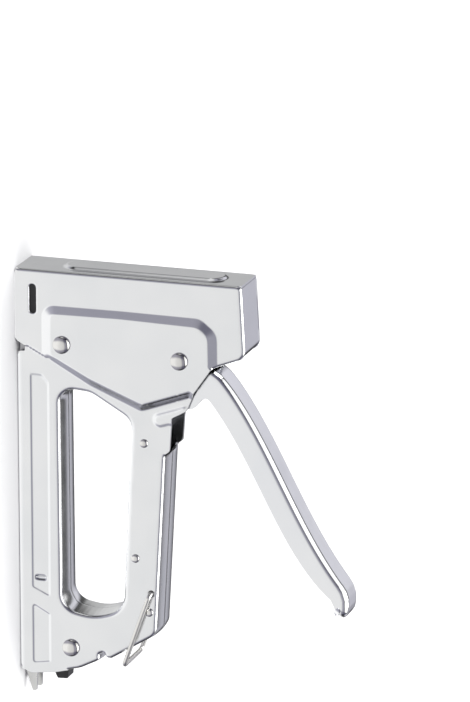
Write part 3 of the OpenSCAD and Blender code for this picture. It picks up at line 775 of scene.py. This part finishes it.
# %% [markdown]
# ## Wire and springs
# The bail and the springs are round wire: a circle carried along a path. Real wire is bent round a
# former, so the bail's corners are arcs and its ends hook into the shell.

# %% Tubes
def tube(path, radius, up, sides=14):
    """A circle of that radius carried along a path. At each point its plane is square to the path, and up
    settles its turn. Both ends are closed by a ring drawn to a point."""
    path = np.array(path, float)
    along = unit(np.gradient(path, axis=0))
    across = unit(np.cross(along, np.broadcast_to(up, path.shape)))
    third = np.cross(across, along)
    a = np.linspace(0, 2 * math.pi, sides, endpoint=False)
    around = np.cos(a)[:, None] * across[:, None] + np.sin(a)[:, None] * third[:, None]
    body = path[:, None] + radius * around
    ends = np.repeat(path[[0, -1]][:, None], sides, 1)
    rows = np.concatenate([ends[:1], body, ends[1:]])
    grid = np.arange(rows.shape[0] * sides).reshape(-1, sides)
    ahead = np.roll(grid, -1, 1)
    faces = np.stack([grid[:-1], grid[1:], ahead[1:], ahead[:-1]], -1).reshape(-1, 4)
    return rows.reshape(-1, 3), faces


def arc_path(points, radius, n=9):
    """An open path through points in space, each inner corner an arc of that radius."""
    p = np.array(points, float)
    parts = [p[:1]]
    for before, here, after in zip(p[:-2], p[1:-1], p[2:]):
        u, v = unit(before - here), unit(after - here)
        half = math.acos(np.clip(u @ v, -1, 1)) / 2
        centre = here + unit(u + v) * radius / math.sin(half)
        first = here + u * radius / math.tan(half) - centre
        last = here + v * radius / math.tan(half) - centre
        bend = math.pi - 2 * half
        a = np.linspace(0, 1, n)[:, None]
        parts.append(centre + (np.sin((1 - a) * bend) * first + np.sin(a * bend) * last) / math.sin(bend))
    return np.vstack(parts + [p[-1:]])


print("one rounded corner:", len(arc_path([(0, 0, 0), (9, 0, 0), (9, 0, 9)], 2)), "points")


# %% Build the bail
WIRE, BAIL_CORNER = 0.9, 1.9
bail_y = box_mm("lock_bail")[1][1] - WIRE
BAIL_LENGTH, BAIL_REST = 31.7, math.radians(-19.5)
leg = np.array([math.cos(BAIL_REST), 0, math.sin(BAIL_REST)])
hinge = np.array([BAIL[0], 0, BAIL[1]])
sideways = np.array([0, 1, 0])
hook_y = GRIP_OUT - 1.6
bail_end = hinge + leg * BAIL_LENGTH
bail_points = [
    hinge - sideways * hook_y, hinge - sideways * bail_y, bail_end - sideways * bail_y,
    bail_end + sideways * bail_y, hinge + sideways * bail_y, hinge + sideways * hook_y,
]
bail_path = arc_path(bail_points, BAIL_CORNER)
bail = mesh_object("bail_wire_loop", *tube(bail_path, WIRE, np.cross(leg, sideways), 18))
drop_loose(bail)
settle(bail, math.radians(60))
finish_piece(bail, "bail", "bail_wire", wire_steel, "lock_bail")


# %% Build the springs
def helix(radius, wire, turns, length, n=26):
    """A closed-end spring along Z from 0: the first and last turn lie flat, the others share the rest."""
    t = np.linspace(0, turns, int(turns * n))
    flat = 1.05 * wire
    pitch = (length - wire - 2.1 * wire) / (turns - 2)
    last = length - wire - flat * (turns - t)
    z = np.where(t < 1, flat * t, np.where(t > turns - 1, last, flat + pitch * (t - 1)))
    return np.c_[radius * np.cos(2 * math.pi * t), radius * np.sin(2 * math.pi * t), z + wire / 2]


def spring(name, centre, turn, body, node, squeeze, *shape):
    """A spring from helix's numbers, turned and placed. Given squeeze, it gets a mesh of its own."""
    path = helix(*shape) @ np.array(turn, float).T + centre
    axis = np.array(turn, float)[:, 2]
    piece = mesh_object(name, *tube(path, shape[1] / 2, axis, 10))
    drop_loose(piece)
    settle(piece, math.radians(60))
    finish_piece(piece, body, "spring_steel", spring_wire, node)
    if squeeze:
        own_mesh(piece)
    return piece


UPRIGHT = np.eye(3)
LENGTHWISE = [[0, 0, 1], [0, 1, 0], [-1, 0, 0]]
CROSSWISE = [[1, 0, 0], [0, 0, 1], [0, -1, 0]]
low, high = box_mm("power_spring")
centre = np.array([(low[0] + high[0]) / 2, 0, low[2]])
travel = joint("striker_lift")["range_m"][1] / MM
length = high[2] - low[2]
spring("power_spring_coil", centre, UPRIGHT, "housing", "power_spring",
       ("striker_lift", (centre[0], 0, high[2]), 1 - travel / length), 4.5, 1.9, 5, length)
low, high = box_mm("pusher_spring")
centre = np.array([low[0], 0, (low[2] + high[2]) / 2])
travel = joint("pusher_slide")["range_m"][1] / MM
length = high[0] - low[0]
spring("pusher_spring_coil", centre, LENGTHWISE, "loader", "pusher_spring",
       ("pusher_slide", (high[0], 0, centre[2]), 1 - travel / length), 2.05, 0.6, 30, length)
low, high = box_mm("return_spring")
spring("return_spring_coil", np.array([PIVOT[0], low[1], PIVOT[1]]), CROSSWISE, "housing", "return_spring",
       None, 4.2, 1.0, 5, high[1] - low[1])

# %% [markdown]
# ## The front plate and the head cap
# These two strips close the head between the shells. The front plate carries a long raised panel,
# and the cap curves down behind the head. Each is a surface on a grid: across, and along its length.

# %% Front plate
def grid_faces(rows, columns):
    """Quads of a grid of rows by columns."""
    grid = np.arange(rows * columns).reshape(rows, columns)
    return np.stack([grid[:-1, :-1], grid[1:, :-1], grid[1:, 1:], grid[:-1, 1:]], -1).reshape(-1, 4)


PLATE_SHEET, PANEL_HALF = 0.9, 5.9
plate_half = HEAD_OUT - 1.25
across = np.linspace(-plate_half, plate_half, 40)
up = np.linspace(0, box_mm("front_plate")[1][2], 190)
Z, Y = np.meshgrid(up, across, indexing="ij")
panel = rounded(pill((0, 17 + PANEL_HALF), (0, HEAD - 10 - PANEL_HALF), PANEL_HALF))
raised = ease(-0.1, 1.1, depth_in(np.c_[Y.ravel(), Z.ravel()], panel)).reshape(Y.shape)
X = 0.02 - raised * 0.98
plate = mesh_object("front_plate_pressing", np.stack([X, Y, Z], -1).reshape(-1, 3), grid_faces(*Y.shape))
thicken(plate, PLATE_SHEET)
finish_piece(plate, "housing", "chrome_plate", plate_chrome, "front_plate")

# %% Head cap
CAP_BEND, LONG_SIDE, SLIT_WIDTH = 4.4, 2, 0.6
cap_corners = [(1.0, 0, HEAD - 1.5), (28.3, 0, HEAD + 0.05), (32.3, 0, PIVOT[1] + 13.8)]
cap_line = arc_path(cap_corners, CAP_BEND, 14)
cap_line = np.vstack([
    np.linspace(a, b, 12, endpoint=False) if np.linalg.norm(b - a) > LONG_SIDE else a[None]
    for a, b in zip(cap_line[:-1], cap_line[1:])
] + [cap_line[-1:]])
cap_half = HEAD_OUT - 1.2
cap_x, cap_z = cap_line[:, 0], cap_line[:, 2]
slit = ease(8.6, 9.0, cap_x) * (1 - ease(21.8, 22.2, cap_x)) * (cap_z > HEAD - 3)
across = np.linspace(-1, 1, 24)
Y = (cap_half - SLIT_WIDTH * slit)[:, None] * across
X, Z = (np.repeat(cap_line[:, i : i + 1], len(across), 1) for i in (0, 2))
cap = mesh_object("head_cap_pressing", np.stack([X, Y, Z], -1).reshape(-1, 3), grid_faces(*Y.shape))
thicken(cap, PLATE_SHEET)
finish_piece(cap, "housing", "chrome_plate", plate_chrome, "head_cap")

# %% [markdown]
# ## Inner parts
# Striker, blade, rail, channel and spacers are hidden or half hidden, and their CAD shapes are
# right, so they stay and get the oiled steel or the black nylon that such parts have.

# %% Finishes for the CAD nodes that stay
STAYING = {
    inner_steel: [
        "main_spacers", "grip_spacers", "pivot_bushes", "pivot_sleeve", "spring_seat", "magazine_channel",
        "staple_rail", "striker", "driver_blade", "blade_rivets", "lift_pin", "guide_rod", "pusher",
    ],
    tab_steel: ["pull_tab"],
    black_nylon: ["nose_guide", "rear_plug"],
}
for material, names in STAYING.items():
    for name in names:
        for material_slot in frame["nodes"][name].material_slots:
            material_slot.material = material
print("nodes with a finish of their own:", sum(len(n) for n in STAYING.values()))

# %% [markdown]
# ## Floor, light and camera
# Bright plate shows what stands round it, so the studio is part of the finish: a pale floor that
# fills the flat faces with even light, a cool grey room that darkens the bends, and soft boxes.

# %% Floor
FLOOR_HALF = 9000
floor_corners = [(x * FLOOR_HALF, y * FLOOR_HALF, 0) for x, y in ((-1, -1), (1, -1), (1, 1), (-1, 1))]
floor = mesh_object("floor", floor_corners, np.array([[0, 1, 2, 3]]))
floor_paint, floor_tree, floor_shader = new_material("floor_paint")
floor_shader.inputs["Roughness"].default_value = 0.6
tinted(floor_tree, floor_shader, pattern(floor_tree, 3, 2), (0.90, 0.90, 0.90), (0.93, 0.93, 0.93))
floor.data.materials.append(floor_paint)
floor.visible_glossy = False
print(f"floor {2 * FLOOR_HALF * MM:.0f} m wide")

# %% Room light
world = bpy.data.worlds.new("studio")
bpy.context.scene.world = world
world.use_nodes = True
nodes, links = world.node_tree.nodes, world.node_tree.links
direction = nodes.new("ShaderNodeTexCoord")
split = nodes.new("ShaderNodeSeparateXYZ")
links.new(direction.outputs["Generated"], split.inputs["Vector"])


def room_ramp(axis, stops):
    """A tone for each value of one coordinate of the direction, from -1 to 1."""
    spread = nodes.new("ShaderNodeMapRange")
    spread.inputs["From Min"].default_value = -1
    links.new(split.outputs[axis], spread.inputs["Value"])
    ramp = nodes.new("ShaderNodeValToRGB")
    while len(ramp.color_ramp.elements) < len(stops):
        ramp.color_ramp.elements.new(0.5)
    for element, (place, colour) in zip(ramp.color_ramp.elements, stops):
        element.position = (place + 1) / 2
        element.color = (*colour, 1)
    links.new(spread.outputs["Result"], ramp.inputs["Fac"])
    return ramp.outputs["Color"]


def mixed(kind, a, b, factor=1.0):
    """Two colours joined by a mix node. A number or a tuple is set on the node itself."""
    mix = nodes.new("ShaderNodeMix")
    mix.data_type, mix.blend_type = "RGBA", kind
    for source, end in ((a, mix.inputs["A"]), (b, mix.inputs["B"]), (factor, mix.inputs["Factor"])):
        if isinstance(source, (float, tuple)):
            end.default_value = source
        else:
            links.new(source, end)
    return mix.outputs["Result"]


def grey(tone, violet=0.0):
    """A grey of that tone, leaning to violet."""
    return (tone * (1 - 0.06 * violet), tone * (1 - 0.07 * violet), tone * (1 + 0.08 * violet))


across_room = room_ramp("X", [
    (-1, grey(1)), (-0.96, grey(1)), (-0.92, grey(0.06)), (-0.84, grey(0.06)), (-0.7, grey(0.4, 1)),
    (-0.3, grey(0.44, 1)), (-0.02, grey(1)), (0.5, grey(1)), (0.66, grey(0.46, 1)), (0.91, grey(0.38, 1)),
    (0.95, grey(0.05)), (1, grey(0.05)),
])
up_room = room_ramp("Z", [
    (-1, grey(1)), (-0.5, grey(1)), (-0.3, grey(0.8)), (-0.02, grey(0.7)), (0.16, grey(0.34, 1)),
    (0.5, grey(0.36, 1)), (0.6, grey(0.06)), (1, grey(0.06)),
])
up_behind = room_ramp("Z", [
    (-1, grey(0.85)), (-0.4, grey(0.6)), (-0.34, grey(0.47)), (-0.24, grey(0.47)), (-0.12, grey(0.1)),
    (0.06, grey(0.06)), (0.16, grey(0.5, 0.6)), (0.22, grey(0.7, 0.5)), (0.42, grey(0.68, 0.5)),
    (0.5, grey(0.12)), (0.6, grey(0.08)), (1, grey(0.08)),
])
across_behind = room_ramp("X", [
    (-1, grey(0.5)), (-0.6, grey(1)), (0.0, grey(1)), (0.16, grey(0.8, 0.2)), (0.34, grey(0.7, 0.2)),
    (0.5, grey(0.6, 0.2)), (0.6, grey(1)), (1, grey(0.8)),
])
behind_room = mixed("MULTIPLY", up_behind, across_behind)
turn_back = room_ramp("Y", [(-1, grey(0)), (0.05, grey(0)), (0.5, grey(1)), (1, grey(1))])
front_room = mixed("MULTIPLY", across_room, up_room)
BRIGHT = (1.15, 1.15, 1.15, 1)
ceiling_edge = room_ramp("Z", [(-1, grey(0)), (0.66, grey(0)), (0.73, grey(1)), (1, grey(1))])
walls = mixed("MIX", front_room, behind_room, turn_back)
links.new(mixed("MIX", walls, BRIGHT, ceiling_edge), nodes["Background"].inputs["Color"])
nodes["Background"].inputs["Strength"].default_value = 1.15


def soft_box(name, location, target, width, height, power):
    """A rectangular light that faces a point."""
    light = bpy.data.lights.new(name, "AREA")
    light.shape = "RECTANGLE"
    light.size, light.size_y, light.energy = width, height, power
    lamp = bpy.data.objects.new(name, light)
    lamp.location = location
    lamp.rotation_mode = "QUATERNION"
    lamp.rotation_quaternion = (Vector(target) - Vector(location)).to_track_quat("-Z", "Y")
    bpy.context.scene.collection.objects.link(lamp)


soft_box("overhead", (0.2, 0.1, 2.4), (0.08, 0.1, 0), 2.0, 2.0, 48)
print("lights:", len(bpy.data.lights))

# %% Camera
TURN, TILT = math.radians(18), math.radians(16)
backward = Vector((-math.sin(TILT), -math.cos(TURN) * math.cos(TILT), math.sin(TURN) * math.cos(TILT)))
rightward = Vector((0, math.sin(TURN), math.cos(TURN)))
upward = backward.cross(rightward)
AIM, DISTANCE = Vector((0.033195, 0.016088, 0.080318)), 2.1154
LENS, SENSOR = 282.05, 36
camera = bpy.data.objects.new("camera", bpy.data.cameras.new("camera"))
camera.data.lens, camera.data.sensor_width = LENS, SENSOR
turn = Matrix((rightward, upward, backward)).transposed()
camera.matrix_world = Matrix.Translation(AIM + backward * DISTANCE) @ turn.to_4x4()
camera.data.clip_start, camera.data.clip_end = 0.1, 60
bpy.context.scene.collection.objects.link(camera)
bpy.context.scene.camera = camera
bpy.context.scene.view_settings.view_transform = "Standard"
print("camera stands at", [round(place, 3) for place in camera.matrix_world.translation], "m")
